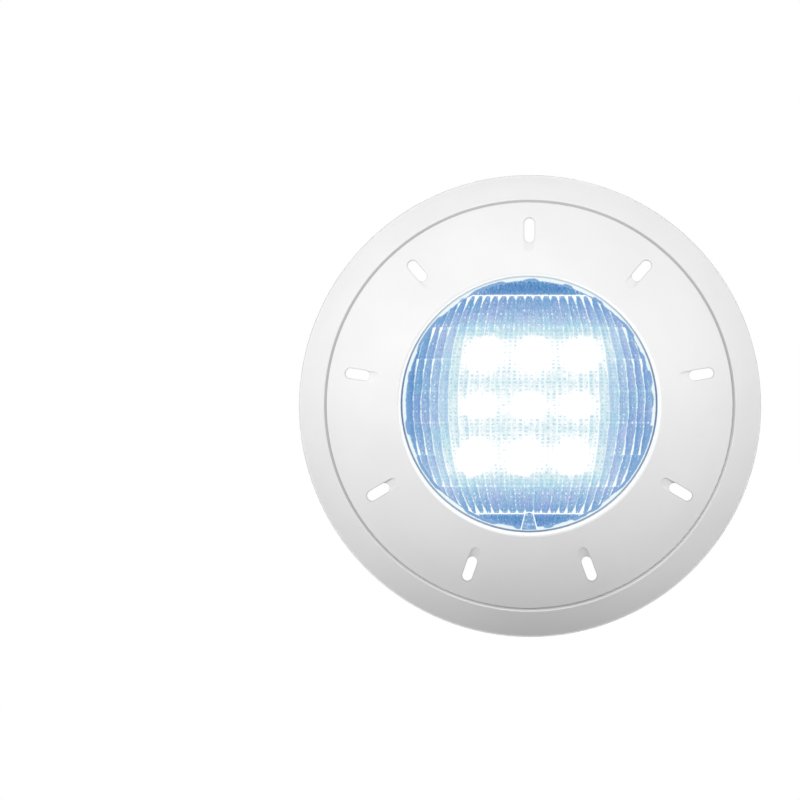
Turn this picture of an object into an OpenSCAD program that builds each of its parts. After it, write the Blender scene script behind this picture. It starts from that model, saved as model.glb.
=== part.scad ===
// Underwater pool light, surface mounted: a round base on the wall, a domed cover that
// twists off it, and a sealed LED lamp that the cover carries.
// Every module is drawn with its axis along z and the wall at z = 0, then placed() stands
// it up: the light faces -Y, +Z is up, and the wall plane is y = 0.

/* [Overall] */
// Outside diameter where the base meets the wall
outer_d = 290; // [276:1:350]
// Height of the cover's front rim above the wall
cover_h = 66; // [60:0.5:80]
// Height of the lens's crown above the wall
total_h = 90.5; // [84:0.5:110]
// Outside diameter of the lamp's rim
lamp_d = 178; // [172:0.5:184]

/* [Cover] */
// Wall of the dome
wall_t = 3; // [2.4:0.1:4]
// How far the cover's mouth reaches in over the lamp's rim
mouth_overlap = 9; // [7.5:0.1:9.5]
// Width of the flat lip round the mouth
lip_w = 2.1; // [1.5:0.1:4]
// Radius on the cover's rear edge
edge_r = 1.2; // [0.6:0.1:1.6]
// Wall of the skirt that turns inside the base
skirt_t = 3; // [2:0.1:4]

/* [Slots] */
// Number of slots round the cover
slot_count = 9; // [5:1:12]
// Length of a slot seen from the front
slot_l = 21.5; // [14:0.5:24]
// Width of a slot
slot_w = 6.4; // [4:0.1:9]
// Length of the part of a slot that goes right through
slot_through_l = 15.5; // [8:0.1:18]
// Depth of the sloped recess at its shallow end
slot_ramp_start = 0.6; // [0.3:0.1:1]
// Depth of the sloped recess where the hole begins
slot_ramp_end = 2.1; // [1.2:0.1:2.2]

/* [Twist lock] */
// Turn from locked to free
twist_angle = 30; // [20:1:36]
// How far the cover moves out over that turn
twist_lift = 4; // [2:0.5:5]
// How far a lug stands out from the skirt
lug_out = 4; // [3:0.1:5]
// Thickness of a lug
lug_t = 4; // [3:0.1:5]
// Width of a lug as an angle
lug_angle = 14; // [8:1:18]
// Height of a locked lug above the wall
lug_a = 12; // [9:0.5:13]
// Wall of the base outside the lug channels
ring_wall = 2.6; // [2:0.1:3.5]

/* [Base] */
// Height of the base's outer ring
part_h = 24.7; // [22:0.1:30]
// Gap between the ring and the cover's edge
part_gap = 1.2; // [0.8:0.1:2]
// Thickness of the base's floor
floor_t = 4; // [3:0.1:5]
// Thickness of the thin foot at the wall
foot_t = 1.2; // [0.8:0.1:2]
// Inner radius of the windows in the floor
window_r = 98; // [96:0.5:102]
// Width of a window as an angle
window_angle = 24; // [12:1:28]
// Thickness of the ribs behind the ring
rib_t = 2.4; // [1.6:0.1:4]
// Number of ribs behind the ring
rib_count = 18; // [9:1:24]
// Distance of the wall screws from the centre
wall_screw_r = 109; // [106:0.5:112]
// Diameter of the holes for the wall screws
wall_screw_d = 5.5; // [4.5:0.1:7]
// Diameter of the bosses round those holes
wall_boss_d = 15; // [12:0.5:18]
// Height of the bosses above the floor
wall_boss_h = 3; // [1:0.5:6]
// Distance of the guide posts from the centre
guide_r = 80; // [78:0.5:82]
// Diameter of a guide post
guide_d = 8; // [6:0.1:9]
// How far a post reaches past the shell's guide ear
guide_over = 3; // [1:0.5:6]

/* [Lamp rim] */
// Sheet thickness of the rim band
band_t = 1; // [0.8:0.1:1.2]
// Width of the band's lips
band_lip = 4.2; // [3:0.1:5]
// Angle left open between the band's ends
band_gap = 3.4; // [2:0.1:6]
// Where the band is open, round the lamp
band_angle = 115; // [110:1:120]
// Thickness of the lens's rim
glass_rim_t = 3.8; // [3:0.1:5]
// Thickness of the lens gasket
gasket_t = 2.2; // [1.5:0.1:3]
// Width of the lens gasket
gasket_w = 11; // [8:0.1:11.5]
// Thickness of the shell's flange
flange_t = 3.5; // [3:0.1:5]
// Thickness of the slip ring between lamp and cover
slip_t = 2; // [1.5:0.1:2.5]
// Inner radius of the slip ring past the mouth
slip_step = 1.3; // [1:0.1:2]

/* [Lens] */
// Glass thickness
glass_t = 4; // [3:0.1:5]
// Height of the lens's shoulder above the cover's rim
shoulder_h = 0.7; // [0:0.1:2]
// Width of the pad at the bottom of the lens
pad_w = 10.7; // [8:0.1:14]
// Length of the pad
pad_l = 12.5; // [10:0.1:15]
// How far the pad stands proud
pad_t = 0.8; // [0.4:0.1:1]
// Distance of the pad from the lens's edge
pad_inset = 0.9; // [0.6:0.1:2]

/* [Shell] */
// Outer radius of the shell's drum, inside the lamp's rim
drum_inset = 16; // [15.5:0.5:17]
// Wall of the drum
drum_t = 3; // [2.5:0.1:3.5]
// Depth of the drum behind the flange
drum_depth = 30; // [28:0.5:33]
// Thickness of the drum's floor
drum_floor_t = 3; // [2.5:0.1:4]
// Height of a guide ear
ear_h = 8; // [6:0.5:10]
// Wall of a guide ear
ear_wall = 4; // [3:0.1:4]

/* [LEDs] */
// LEDs across the lamp
led_columns = 3; // [1:1:3]
// LEDs up the lamp
led_rows = 3; // [1:1:3]
// Pitch across
led_pitch_x = 30.4; // [26:0.1:31]
// Pitch up
led_pitch_y = 31.7; // [26:0.1:32]
// Side of an emitter's base
led_w = 5; // [3:0.1:6]
// Thickness of an emitter's base
led_t = 1.2; // [0.8:0.1:1.5]
// Radius of an emitter's dome
led_dome_r = 2; // [1:0.1:2.4]
// Diameter of an optic's front
optic_d = 24.4; // [18:0.1:25]
// Diameter of an optic's foot
optic_foot_d = 11; // [10:0.1:13]
// Height of an optic
optic_h = 10.5; // [8:0.1:11]
// Diameter of the LED board
board_d = 120; // [116:1:122]
// Thickness of the LED board
board_t = 1.6; // [1:0.1:2]
// Height of the board below the flange's front
board_drop = 9.4; // [9:0.1:11]

/* [Reflector] */
// Sheet thickness of the reflector
reflector_t = 1.2; // [0.8:0.1:1.5]
// Width of the lip on which the reflector rests
reflector_lip = 5.6; // [4:0.1:5.8]

/* [Heat sink] */
// Diameter of the opening in the drum's floor
sink_hole_d = 88.4; // [80:0.2:90]
// Diameter of the heat sink's flange
sink_flange_d = 108; // [106:0.5:109]
// Thickness of that flange
sink_flange_t = 4; // [3:0.1:5]
// Diameter of the column under the LED board
sink_column_d = 92; // [88:0.5:93]
// Thickness of the plate that the fins stand on
sink_plate_t = 3; // [2:0.1:5]
// Thickness of a fin
fin_t = 2.4; // [1.5:0.1:3]
// Pitch of the fins
fin_pitch = 7.4; // [6:0.1:10]
// Gap between the fins and the base
fin_gap = 2.5; // [2:0.1:4]
// Radius of the screws that hold the heat sink
sink_screw_r = 50.2; // [50:0.1:50.6]
// Radius of the middle of the seal ring
seal_r = 46.2; // [46:0.1:46.3]
// Cord diameter of the seal ring
seal_d = 2; // [1.6:0.1:2.2]
// Depth of the seal ring's groove
seal_groove = 1.5; // [1.2:0.1:1.6]

/* [Driver] */
// Inner radius of the driver board
driver_in = 55.6; // [55:0.1:57]
// Outer radius of the driver board
driver_out = 68.4; // [67:0.1:68.6]
// Thickness of the driver board
driver_t = 1.6; // [1:0.1:2]
// Height of the posts under the driver board
driver_post_h = 8; // [5:0.5:9]
// Angle left open for the cable gland
driver_open = 44; // [36:1:60]
// Diameter of a capacitor
cap_d = 8; // [6:0.1:9]
// Height of a capacitor
cap_h = 7.6; // [5:0.1:8]
// Diameter of the inductor
coil_d = 11; // [8:0.1:12]
// Height of the inductor
coil_h = 7.2; // [5:0.1:8]

/* [Cable gland] */
// Thread diameter
gland_d = 16; // [12:0.5:16]
// Width across the flats of the hexagons
gland_flats = 18; // [17:0.5:19]
// Thickness of the body's hexagon
gland_hex_t = 4; // [3:0.1:5]
// Bore for the cable
gland_bore_d = 10; // [6:0.5:10]
// Thickness of the lock nut
locknut_t = 4; // [3:0.1:5]
// Thickness of the gland's sealing ring
gland_ring_t = 1.4; // [1:0.1:2]
// Length of the outer thread
gland_thread_l = 7; // [5:0.1:9]
// Length of the compression nut
gland_nut_l = 12; // [11:0.1:15]
// Length of the rubber cone in the nut
gland_seal_l = 3; // [2:0.1:3]
// Distance of the cable entry from the centre
entry_r = 85; // [84:0.5:86]
// Diameter of the hole for the cable entry
entry_d = 19; // [14:0.5:20]
// Bore of the grommet in it
entry_bore_d = 9; // [6:0.5:12]

/* [Clips and fasteners] */
// Thickness of a lamp clip
clip_t = 3; // [2:0.1:4]
// Width of a lamp clip
clip_w = 12; // [8:0.5:14]
// How far a clip reaches behind the band
clip_reach = 3.6; // [2:0.1:4]
// Distance of the clip's screw outside the lamp's rim
clip_post_out = 9; // [8.5:0.1:10]
// Diameter of the clip's post on the cover
clip_post_d = 9; // [8:0.1:10]
// Thread diameter of the clip screws
clip_screw_d = 3.5; // [3:0.1:4]
// Thread diameter of the small screws
small_screw_d = 3; // [2.5:0.1:3]
// Thread diameter of the heat sink's screws
sink_screw_d = 4; // [3.5:0.1:4]

/* [Fits] */
// Clearance round the skirt in the base
skirt_fit = 0.4; // [0.3:0.05:0.6]
// Clearance round a lug in its channel
lug_fit = 0.4; // [0.3:0.05:0.6]
// Clearance between the lens and the cover's mouth
mouth_fit = 0.8; // [0.5:0.1:1.5]
// Clearance between the band and the cover's dome
dome_fit = 1; // [0.6:0.1:1.5]
// Clearance between faces that turn on each other
slide_fit = 0.1; // [0.05:0.05:0.3]
// Clearance round the guide posts
guide_fit = 0.3; // [0.2:0.05:0.5]
// Clearance of the lens in the band
band_fit = 0.2; // [0.1:0.05:0.4]
// Clearance of a screw in a tapped hole
thread_fit = 0.05; // [0:0.01:0.1]
// Clearance of a screw in a plain hole
hole_fit = 0.25; // [0.2:0.05:0.4]

/* [Hidden] */
$fn = 96;
eps = 0.01;
// How far a cutting shape reaches past the face that it opens
cut = 1;
// How deep a shape that is added runs into the one that carries it
sunk = 0.6;

// The dome: one sphere through the base's foot and the outer edge of the cover's lip
outer_r = outer_d / 2;
lamp_r = lamp_d / 2;
mouth_r = lamp_r - mouth_overlap;
lip_r = mouth_r + lip_w;
dome_c = (lip_r * lip_r + cover_h * cover_h - outer_r * outer_r) / (2 * cover_h);
dome_r = sqrt(outer_r * outer_r + dome_c * dome_c);
inner_r = dome_r - wall_t;
// Radius of a sphere about the dome's centre at height a, and its height at radius r
function radius_at(sphere_r, a) = sqrt(sphere_r * sphere_r - (a - dome_c) * (a - dome_c));
function height_at(sphere_r, r) = dome_c + sqrt(sphere_r * sphere_r - r * r);

// The twist lock, worked inwards from the top of the base's ring
channel_r = radius_at(dome_r, part_h) - ring_wall;
lug_r = channel_r - lug_fit;
skirt_r = lug_r - lug_out;
skirt_in = skirt_r - skirt_t;
bore_r = skirt_r + skirt_fit;
cover_a = part_h + part_gap;
skirt_a = lug_a - 1;
lug_count = 3;
lug_first = 20;
// Play of a lug at the ends of its channel, and the step between channel and entry, as angles
lug_play = 0.6;
entry_step = 0.3;
// How far the entries cut into the bore and past the channel's wall
entry_in = 1.5;
entry_out = 0.1;
// Centre of the rounded rear edge, and the height at which it runs into the dome
edge_c_a = cover_a + edge_r;
edge_c_r = radius_at(dome_r - edge_r, edge_c_a);
edge_top = dome_c + (edge_c_a - dome_c) * dome_r / (dome_r - edge_r);

// Slots, just inside the skirt
slot_margin = 2.6;
slot_drop = 4;
slot_first = 90;
slot_step = 360 / slot_count;
slot_out = skirt_in - slot_margin;
slot_in = slot_out - slot_l;
slot_through = slot_out - slot_through_l;

// Heights in the lamp, from the front of its rim back
rim_a = height_at(inner_r, lamp_r + dome_fit);
slip_a = rim_a + slip_t;
seat_a = slip_a + slide_fit;
glass_f = rim_a - band_t;
glass_b = glass_f - glass_rim_t;
flange_f = glass_b - gasket_t;
flange_b = flange_f - flange_t;
band_b = flange_b - band_t;
drum_b = flange_b - drum_depth;
drum_in_a = drum_b + drum_floor_t;
board_b = flange_f - board_drop;
board_f = board_b + board_t;
driver_b = drum_in_a + driver_post_h;
driver_f = driver_b + driver_t;
fin_b = floor_t + fin_gap;

// Radii in the lamp
band_in = lamp_r - band_t;
glass_r = band_in - band_fit;
drum_r = lamp_r - drum_inset;
drum_in = drum_r - drum_t;
lens_r = mouth_r - mouth_fit;
lens_a = cover_h + shoulder_h;
lens_sag = total_h - lens_a;
lens_sphere_r = (lens_r * lens_r + lens_sag * lens_sag) / (2 * lens_sag);
lens_c = total_h - lens_sphere_r;
slip_in = mouth_r + slip_step;
slip_gap = 0.5;
slip_out = radius_at(inner_r, seat_a) - slip_gap;
// The band's lips reach in under the slip ring, however flat the dome is
slip_bearing = 1;
band_lip_r = min(lamp_r - band_lip, slip_out - slip_bearing);

// The clamp of the rim band
clamp_plate_t = 1.6;
clamp_w = 6.2;
clamp_inset = 0.3;
clamp_gap = 0.8;
clamp_foot = 0.1;
clamp_half = lamp_r * sin(band_gap / 2);
clamp_a0 = band_b + clamp_inset;
clamp_a1 = clamp_a0 + clamp_w;
clamp_r = radius_at(inner_r, clamp_a1) - clamp_gap;
clamp_screw_r = (lamp_r + clamp_r) / 2;
clamp_screw_a = (clamp_a0 + clamp_a1) / 2;
clamp_screw_l = 16;
nut_flats = 5.5;
nut_h = 2.4;

// Clips: their posts stand in the cover's dome
clip_count = 3;
clip_first = slot_first - slot_step / 2;
clip_r = lamp_r + clip_post_out;
clip_gap = 0.15;
clip_f = band_b - clip_gap;
clip_b = clip_f - clip_t;
clip_screw_l = 8.5;

// Guides between the shell and the base
guide_count = 3;
guide_first = 90;
ear_r = guide_d / 2 + guide_fit + ear_wall;
ear_step = 1;
ear_a = drum_b + ear_step;
guide_top = ear_a + ear_h + guide_over;

// Wall screws, midway between windows
wall_screw_count = 3;
wall_screw_first = slot_first - slot_step / 2;
counterbore_d = wall_screw_d * 2;
counterbore_t = 3;

// What the base leaves round its windows, and how far its ribs run into the ring
window_margin = 2;
rib_sunk = 0.3;

// Cable gland, pointing down; entry, up and to the left
gland_angle = 270;
gland_hex_r = gland_flats / sqrt(3);
gland_step = 0.6;
gland_a = drum_in_a + gland_hex_r + gland_step;
gland_pad_r = gland_hex_r + 2 * gland_step;
gland_pad_in = drum_in - 2;
gland_pad_out = drum_r + 3;
gland_hex_x = gland_pad_out + gland_ring_t;
gland_thread_x = gland_hex_x + gland_hex_t;
gland_nut_gap = 0.4;
gland_nut_x = gland_thread_x + gland_nut_gap;
gland_seal_gap = 0.3;
gland_seal_x = gland_thread_x + gland_thread_l + gland_seal_gap;
gland_neck_d = gland_d - 1;
gland_tail = 1;
entry_angle = 150;
entry_lip = 2.5;
entry_lip_t = 1.5;
grommet_fit = 0.1;

// Fasteners; the head and its cross are shares of the thread's diameter
head_ratio = 0.92;
head_h_ratio = 0.6;
cross_l_ratio = 0.6;
cross_w_ratio = 0.2;
sink_screw_count = 6;
sink_screw_l = 9;
sink_boss_wall = 2.4;
sink_boss_r = sink_screw_d / 2 + sink_boss_wall;
sink_boss_h = 6;
driver_r = (driver_in + driver_out) / 2;
driver_post_r = 3.1;
driver_post_angles = [10, 130, 238, 318];
small_screw_l = 6;
board_screw_l = 8;

// What stands on the driver board, by its angle
cap_angles = [32, 44, 56];
coil_angle = 152;
chip_angles = [76, 90, 104];
chip_size = [6, 8, 1.8];
terminal_angle = 218;
terminal_size = [9, 15, 8];
terminal_ways = 3;
terminal_screw_r = 1.7;
terminal_screw_t = 2;
terminal_mouth = [3, 3.2, 3.2];
terminal_mouth_a = 1.2;
cap_rim = 0.8;
cap_dish = 0.3;
coil_flange = 0.2;
coil_waist = 0.84;
lead_angles = [182, 190];
lead_d = 1.6;
lead_r = driver_in + 2.4;
lead_proud = 0.6;

// Small steps in the lamp: round the reflector's foot and top, the optics' edge and pocket,
// the seal ring's groove, the plug of the heat sink and the tips of its fins
reflector_foot_gap = 0.6;
reflector_top_gap = 0.4;
optic_edge = 1.2;
optic_pocket_r = led_w * 0.75;
optic_pocket_gap = 1;
groove_play = 0.1;
plug_fit = 0.3;
fin_margin = 1;
fin_half_count = 5;
post_foot = 0.5;

module placed() {
    rotate([90, 0, 0]) children();
}

// Copies of the children round the axis
module round_copies(count, first, step = 0) {
    for (i = [0 : count - 1])
        rotate(first + i * (step == 0 ? 360 / count : step)) children();
}

module ring(r_in, r_out, a0, a1) {
    translate([0, 0, a0]) difference() {
        cylinder(r = r_out, h = a1 - a0);
        hole(2 * r_in, 0, a1 - a0);
    }
}

// A hole of diameter d between two heights, cut past both
module hole(d, a0, a1) {
    translate([0, 0, a0 - cut]) cylinder(d = d, h = a1 - a0 + 2 * cut);
}

module disc_at(r, a0, a1) {
    translate([0, 0, a0]) cylinder(r = r, h = a1 - a0);
}

// Half section of the sphere of radius r about the dome's centre, between two heights
module dome_section(r, a0, a1, r_max) {
    intersection() {
        translate([0, dome_c]) circle(r, $fn = 360);
        translate([0, a0]) square([r_max, a1 - a0]);
    }
}

// A block between two radii that climbs at the pitch of the twist lock
module climbing_block(r0, r1, a0, a1, from_angle, to_angle) {
    steps = ceil((to_angle - from_angle) / 4);
    corners = [[r0, a0], [r1, a0], [r1, a1], [r0, a1]];
    points = [
        for (i = [0 : steps], c = corners)
            let (t = from_angle + (to_angle - from_angle) * i / steps)
                [c[0] * cos(t), c[0] * sin(t), c[1] + twist_lift * t / twist_angle]
    ];
    sides = [
        for (i = [0 : steps - 1], k = [0 : 3])
            let (a = 4 * i + k, b = 4 * i + (k + 1) % 4)
                each [[a, b, b + 4], [a, b + 4, a + 4]]
    ];
    last = 4 * steps;
    ends = [[0, 2, 1], [0, 3, 2], [last, last + 1, last + 2], [last, last + 2, last + 3]];
    polyhedron(points, concat(sides, ends), convexity = 4);
}

// A hexagon head or nut standing on z = 0
module hexagon(flats, h) {
    cylinder(r = flats / sqrt(3), h = h, $fn = 6);
}

// A pan-head screw whose head stands on z = 0 and whose shank goes down
module screw(d, l) {
    head_r = d * head_ratio;
    head_h = d * head_h_ratio;
    cross_l = head_r * cross_l_ratio * 2;
    cross_w = d * cross_w_ratio;
    translate([0, 0, -l]) cylinder(d = d, h = l + eps);
    difference() {
        cylinder(r = head_r, h = head_h);
        translate([0, 0, head_h / 2]) {
            translate([-cross_l / 2, -cross_w / 2, 0]) cube([cross_l, cross_w, head_h]);
            translate([-cross_w / 2, -cross_l / 2, 0]) cube([cross_w, cross_l, head_h]);
        }
    }
}

// ---- Base ----

module base_section() {
    difference() {
        union() {
            dome_section(dome_r, 0, part_h, outer_r);
            square([outer_r, foot_t]);
        }
        translate([0, floor_t]) square([bore_r, part_h]);
        base_core_section(0);
    }
}

// The ring is hollow behind, as a moulding is
module base_core_section(grow) {
    intersection() {
        translate([0, dome_c]) circle(inner_r + grow, $fn = 360);
        translate([channel_r + ring_wall - grow, -cut]) square([outer_r, part_h]);
    }
}

module base_ribs() {
    intersection() {
        rotate_extrude() intersection() {
            base_core_section(rib_sunk);
            square([outer_r, part_h]);
        }
        for (i = [0 : rib_count - 1])
            rotate(i * 360 / rib_count + slot_step / 4)
                translate([0, -rib_t / 2, 0]) cube([outer_r, rib_t, part_h]);
    }
}

module lug_channels() {
    side = lug_angle / 2 + lug_play;
    round_copies(lug_count, lug_first) {
        climbing_block(bore_r - cut, channel_r, lug_a - lug_fit, lug_a + lug_t + lug_fit,
            -side, twist_angle + side - entry_step);
        rotate(twist_angle - side) rotate_extrude(angle = 2 * side)
            translate([bore_r - entry_in, lug_a + twist_lift])
                square([channel_r - bore_r + entry_in + entry_out, part_h]);
    }
}

module floor_windows() {
    round_copies(slot_count, slot_first - window_angle / 2)
        rotate_extrude(angle = window_angle)
            translate([window_r, -cut])
                square([bore_r - window_margin - window_r, floor_t + 2 * cut]);
}

module wall_screw_hole() {
    translate([wall_screw_r, 0, 0]) hole(wall_screw_d, 0, floor_t + wall_boss_h);
    translate([wall_screw_r, 0, floor_t + wall_boss_h - counterbore_t])
        cylinder(d = counterbore_d, h = counterbore_t + cut);
}

module mounting_base() color("whitesmoke") placed() difference() {
    union() {
        rotate_extrude() base_section();
        base_ribs();
        round_copies(guide_count, guide_first)
            translate([guide_r, 0, floor_t - sunk])
                cylinder(d = guide_d, h = guide_top - floor_t + sunk);
        round_copies(wall_screw_count, wall_screw_first)
            translate([wall_screw_r, 0, floor_t - sunk])
                cylinder(d = wall_boss_d, h = wall_boss_h + sunk);
    }
    floor_windows();
    lug_channels();
    round_copies(wall_screw_count, wall_screw_first) wall_screw_hole();
    rotate(entry_angle) translate([entry_r, 0, 0]) {
        hole(entry_d, 0, floor_t);
        translate([0, 0, -cut]) cylinder(r = entry_d / 2 + entry_lip, h = entry_lip_t + cut);
    }
}

module conduit_grommet() color("dimgray") placed() rotate(entry_angle) translate([entry_r, 0, 0])
    difference() {
        union() {
            cylinder(r = entry_d / 2 + entry_lip - grommet_fit, h = entry_lip_t);
            cylinder(d = entry_d - grommet_fit, h = floor_t + entry_lip_t);
            translate([0, 0, floor_t]) cylinder(r = entry_d / 2 + entry_lip, h = entry_lip_t);
        }
        hole(entry_bore_d, 0, floor_t + entry_lip_t);
    }

// ---- Cover ----

module cover_section() {
    difference() {
        union() {
            dome_section(dome_r, edge_top, cover_h, outer_r);
            translate([skirt_in, cover_a]) square([edge_c_r - skirt_in, edge_top - cover_a + eps]);
            translate([edge_c_r, edge_c_a]) circle(edge_r);
            translate([skirt_in, skirt_a]) square([skirt_t, cover_a - skirt_a + edge_r]);
        }
        square([mouth_r, cover_h + cut]);
    }
}

// The space under the dome, with the clip posts left standing in it
module cover_space() {
    difference() {
        rotate_extrude() dome_section(inner_r, 0, seat_a, skirt_in);
        round_copies(clip_count, clip_first)
            translate([clip_r, 0, clip_f]) cylinder(d = clip_post_d, h = cover_h - clip_f);
    }
}

module obround(x0, x1, w) {
    translate([x0 + w / 2, 0]) circle(d = w);
    translate([x1 - w / 2, 0]) circle(d = w);
    translate([x0 + w / 2, -w / 2]) square([x1 - x0 - w, w]);
}

// One slot: a hole with round ends at its outer end, and a sloped recess that leads into it
module slot_cut() {
    low = height_at(inner_r, slot_out) - slot_drop;
    ramp_end = slot_through + slot_w / 2;
    ramp_high = height_at(dome_r, slot_in) - slot_ramp_start;
    ramp_low = height_at(dome_r, ramp_end) - slot_ramp_end;
    translate([0, 0, low]) linear_extrude(cover_h - low) obround(slot_through, slot_out, slot_w);
    intersection() {
        translate([0, 0, low]) linear_extrude(cover_h - low) obround(slot_in, slot_out, slot_w);
        rotate([90, 0, 0]) linear_extrude(2 * slot_w, center = true) polygon([
            [slot_in - cut, ramp_high + cut * (ramp_high - ramp_low) / (ramp_end - slot_in)],
            [ramp_end, ramp_low],
            [ramp_end, cover_h],
            [slot_in - cut, cover_h]
        ]);
    }
}

module front_cover() color("whitesmoke") placed() difference() {
    union() {
        rotate_extrude() cover_section();
        round_copies(lug_count, lug_first)
            climbing_block(skirt_r - sunk, lug_r, lug_a, lug_a + lug_t, -lug_angle / 2, lug_angle / 2);
    }
    cover_space();
    round_copies(slot_count, slot_first) slot_cut();
    round_copies(clip_count, clip_first) translate([clip_r, 0, clip_f - cut])
        cylinder(d = clip_screw_d + 2 * thread_fit, h = clip_screw_l - clip_t + cut + post_foot);
}

module lamp_clips() color("silver") placed() round_copies(clip_count, clip_first)
    translate([0, 0, clip_b]) difference() {
        union() {
            translate([lamp_r - clip_reach, -clip_w / 2, 0])
                cube([clip_r - lamp_r + clip_reach, clip_w, clip_t]);
            translate([clip_r, 0, 0]) cylinder(d = clip_w, h = clip_t);
        }
        translate([clip_r, 0, 0]) hole(clip_screw_d + 2 * hole_fit, 0, clip_t);
    }

module clip_screws() color("lightgray") placed() round_copies(clip_count, clip_first)
    translate([clip_r, 0, clip_b]) rotate([180, 0, 0]) screw(clip_screw_d, clip_screw_l);

// ---- Lamp: rim and glass ----

module lens_section() {
    difference() {
        union() {
            intersection() {
                translate([0, lens_c]) circle(lens_sphere_r, $fn = 360);
                translate([0, glass_b]) square([lens_r, total_h]);
            }
            translate([0, glass_b]) square([glass_r, glass_rim_t]);
        }
        intersection() {
            translate([0, lens_c]) circle(lens_sphere_r - glass_t, $fn = 360);
            square([lens_r - glass_t, total_h]);
        }
    }
}

// The small arched pad on the glass, at the bottom of the lens
module lens_pad() {
    y_low = pad_inset - lens_r;
    difference() {
        intersection() {
            translate([0, 0, lens_c]) sphere(lens_sphere_r + pad_t, $fn = 180);
            translate([0, y_low, lens_a - 2 * cut]) linear_extrude(total_h - lens_a) {
                translate([-pad_w / 2, 0]) square([pad_w, pad_l - pad_w / 2]);
                translate([0, pad_l - pad_w / 2]) circle(d = pad_w);
            }
        }
        translate([0, 0, lens_c]) sphere(lens_sphere_r - sunk, $fn = 180);
    }
}

module glass_lens() color("lightskyblue", 0.5) placed() {
    rotate_extrude() lens_section();
    lens_pad();
}

module lens_gasket() color("dimgray") placed() ring(glass_r - gasket_w, glass_r, flange_f, glass_b);

module slip_ring() color("ivory") placed() ring(slip_in, slip_out, rim_a, slip_a);

module band_section() {
    difference() {
        translate([band_lip_r, band_b]) square([lamp_r - band_lip_r, rim_a - band_b]);
        translate([0, flange_b]) square([band_in, glass_f - flange_b]);
    }
}

module clamp_plate(y0) {
    translate([band_in + clamp_foot, y0, clamp_a0])
        cube([clamp_r - band_in - clamp_foot, clamp_plate_t, clamp_w]);
}

module rim_band() color("silver") placed() rotate(band_angle) difference() {
    union() {
        rotate(band_gap / 2) rotate_extrude(angle = 360 - band_gap) band_section();
        clamp_plate(clamp_half);
        clamp_plate(-clamp_half - clamp_plate_t);
    }
    translate([clamp_screw_r, 0, clamp_screw_a]) rotate([90, 0, 0])
        cylinder(d = small_screw_d + 2 * hole_fit, h = 4 * clamp_half, center = true);
}

module at_clamp() {
    placed() rotate(band_angle) translate([clamp_screw_r, 0, clamp_screw_a]) children();
}

module band_screw() color("lightgray") at_clamp()
    translate([0, -clamp_half - clamp_plate_t, 0]) rotate([90, 0, 0]) screw(small_screw_d, clamp_screw_l);

module band_nut() color("lightgray") at_clamp()
    translate([0, clamp_half + clamp_plate_t, 0]) rotate([-90, 0, 0]) difference() {
        hexagon(nut_flats, nut_h);
        hole(small_screw_d + 2 * thread_fit, 0, nut_h);
    }

// ---- Lamp: shell and what it holds ----

module drum_section() {
    translate([drum_in, flange_b]) square([glass_r - drum_in, flange_t]);
    translate([drum_in, drum_b]) square([drum_t, flange_b - drum_b + sunk]);
    difference() {
        translate([sink_hole_d / 2, drum_b]) square([drum_r - sink_hole_d / 2, drum_floor_t]);
        translate([seal_r - seal_d / 2 - groove_play, drum_in_a - seal_groove])
            square([seal_d + 2 * groove_play, seal_groove + cut]);
    }
}

module lamp_shell() color("gainsboro") placed() difference() {
    union() {
        rotate_extrude() drum_section();
        round_copies(guide_count, guide_first)
            translate([guide_r, 0, ear_a]) cylinder(r = ear_r, h = ear_h);
        round_copies(sink_screw_count, 0)
            translate([sink_screw_r, 0, drum_b - sink_boss_h])
                cylinder(r = sink_boss_r, h = sink_boss_h + post_foot);
        for (t = driver_post_angles)
            rotate(t) translate([driver_r, 0, drum_in_a - post_foot])
                cylinder(r = driver_post_r, h = driver_post_h + post_foot);
        rotate(gland_angle) translate([gland_pad_in, 0, gland_a]) rotate([0, 90, 0])
            cylinder(r = gland_pad_r, h = gland_pad_out - gland_pad_in);
    }
    round_copies(guide_count, guide_first)
        translate([guide_r, 0, 0]) hole(guide_d + 2 * guide_fit, ear_a, ear_a + ear_h);
    round_copies(sink_screw_count, 0)
        translate([sink_screw_r, 0, drum_in_a - sink_screw_l + sink_flange_t - post_foot])
            cylinder(d = sink_screw_d + 2 * thread_fit, h = sink_screw_l);
    for (t = driver_post_angles)
        rotate(t) translate([driver_r, 0, driver_b - small_screw_l])
            cylinder(d = small_screw_d + 2 * thread_fit, h = small_screw_l + cut);
    rotate(gland_angle) translate([0, 0, gland_a]) rotate([0, 90, 0])
        hole(gland_d + 2 * hole_fit, gland_pad_in, gland_pad_out);
}

module reflector() color("white") placed() rotate_extrude() {
    foot_r = board_d / 2 + reflector_foot_gap;
    top_r = drum_in - reflector_top_gap;
    lip_out = drum_in + reflector_lip;
    polygon([
        [foot_r, board_f],
        [foot_r + reflector_t, board_f],
        [top_r, flange_f],
        [lip_out, flange_f],
        [lip_out, flange_f + reflector_t],
        [top_r - reflector_t, flange_f + reflector_t]
    ]);
}

// Copies of the children at every LED
module at_leds() {
    for (i = [0 : led_columns - 1], j = [0 : led_rows - 1])
        translate([(i - (led_columns - 1) / 2) * led_pitch_x, (j - (led_rows - 1) / 2) * led_pitch_y])
            children();
}

// Copies at the four board screws, each midway between four LEDs
module at_board_screws() {
    for (x = [-0.5, 0.5], y = [-0.5, 0.5])
        translate([x * led_pitch_x, y * led_pitch_y]) children();
}

module at_leads() {
    for (t = lead_angles) rotate(t) translate([lead_r, 0]) children();
}

module led_board() color("white") placed() difference() {
    disc_at(board_d / 2, board_b, board_f);
    at_board_screws() hole(small_screw_d + 2 * hole_fit, board_b, board_f);
    at_leads() hole(lead_d + 2 * thread_fit, board_b, board_f);
}

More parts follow.
